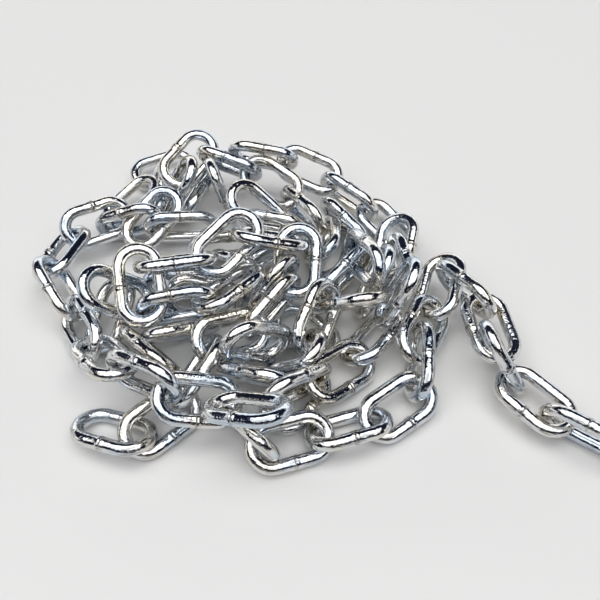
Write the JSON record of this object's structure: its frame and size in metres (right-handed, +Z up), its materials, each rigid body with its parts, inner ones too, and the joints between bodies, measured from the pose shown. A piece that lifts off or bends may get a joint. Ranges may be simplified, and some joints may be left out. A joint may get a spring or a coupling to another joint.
{
  "type": "heap of chain",
  "caption": "Loose heap of welded short-link steel chain, with one end lying out in front and the other trailing off to the right.",
  "frame": {"origin": "centre of the heap's outer box, on the floor that it lies on", "axes": "+X to the trailing end of the chain, +Y away from the viewer, +Z up"},
  "size_m": [0.2456, 0.1894, 0.0438],
  "materials": {
    "zinc_plated_steel": "bright zinc plate"
  },
  "bodies": {
    "root": {"back_link_01": "zinc_plated_steel", "back_link_02": "zinc_plated_steel", "back_link_03": "zinc_plated_steel", "back_link_04": "zinc_plated_steel", "core": "zinc_plated_steel", "front_link_01": "zinc_plated_steel", "front_link_02": "zinc_plated_steel", "front_link_03": "zinc_plated_steel", "front_link_04": "zinc_plated_steel", "front_link_05": "zinc_plated_steel", "front_link_06": "zinc_plated_steel", "front_link_07": "zinc_plated_steel", "front_link_08": "zinc_plated_steel", "front_link_09": "zinc_plated_steel", "front_link_10": "zinc_plated_steel", "front_link_11": "zinc_plated_steel", "front_link_12": "zinc_plated_steel", "loose_link_01": "zinc_plated_steel", "loose_link_02": "zinc_plated_steel", "loose_link_03": "zinc_plated_steel", "loose_link_04": "zinc_plated_steel", "loose_link_05": "zinc_plated_steel", "loose_link_06": "zinc_plated_steel", "loose_link_07": "zinc_plated_steel", "loose_link_08": "zinc_plated_steel", "loose_link_09": "zinc_plated_steel", "loose_link_10": "zinc_plated_steel", "loose_link_11": "zinc_plated_steel", "lower_link_01": "zinc_plated_steel", "lower_link_02": "zinc_plated_steel", "lower_link_03": "zinc_plated_steel", "middle_link_01": "zinc_plated_steel", "middle_link_02": "zinc_plated_steel", "middle_link_03": "zinc_plated_steel", "outer_link_01": "zinc_plated_steel", "outer_link_02": "zinc_plated_steel", "outer_link_03": "zinc_plated_steel", "outer_link_04": "zinc_plated_steel", "outer_link_05": "zinc_plated_steel", "outer_link_06": "zinc_plated_steel", "outer_link_07": "zinc_plated_steel", "outer_link_08": "zinc_plated_steel", "outer_link_09": "zinc_plated_steel", "outer_link_10": "zinc_plated_steel", "outer_link_11": "zinc_plated_steel", "outer_link_12": "zinc_plated_steel", "outer_link_13": "zinc_plated_steel", "outer_link_14": "zinc_plated_steel", "outer_link_15": "zinc_plated_steel", "outer_link_16": "zinc_plated_steel", "outer_link_17": "zinc_plated_steel", "outer_link_18": "zinc_plated_steel", "outer_link_19": "zinc_plated_steel", "outer_link_20": "zinc_plated_steel", "outer_link_21": "zinc_plated_steel", "peak_link_01": "zinc_plated_steel", "peak_link_02": "zinc_plated_steel", "peak_link_03": "zinc_plated_steel", "peak_link_04": "zinc_plated_steel", "peak_link_05": "zinc_plated_steel"}
  },
  "joints": []
}
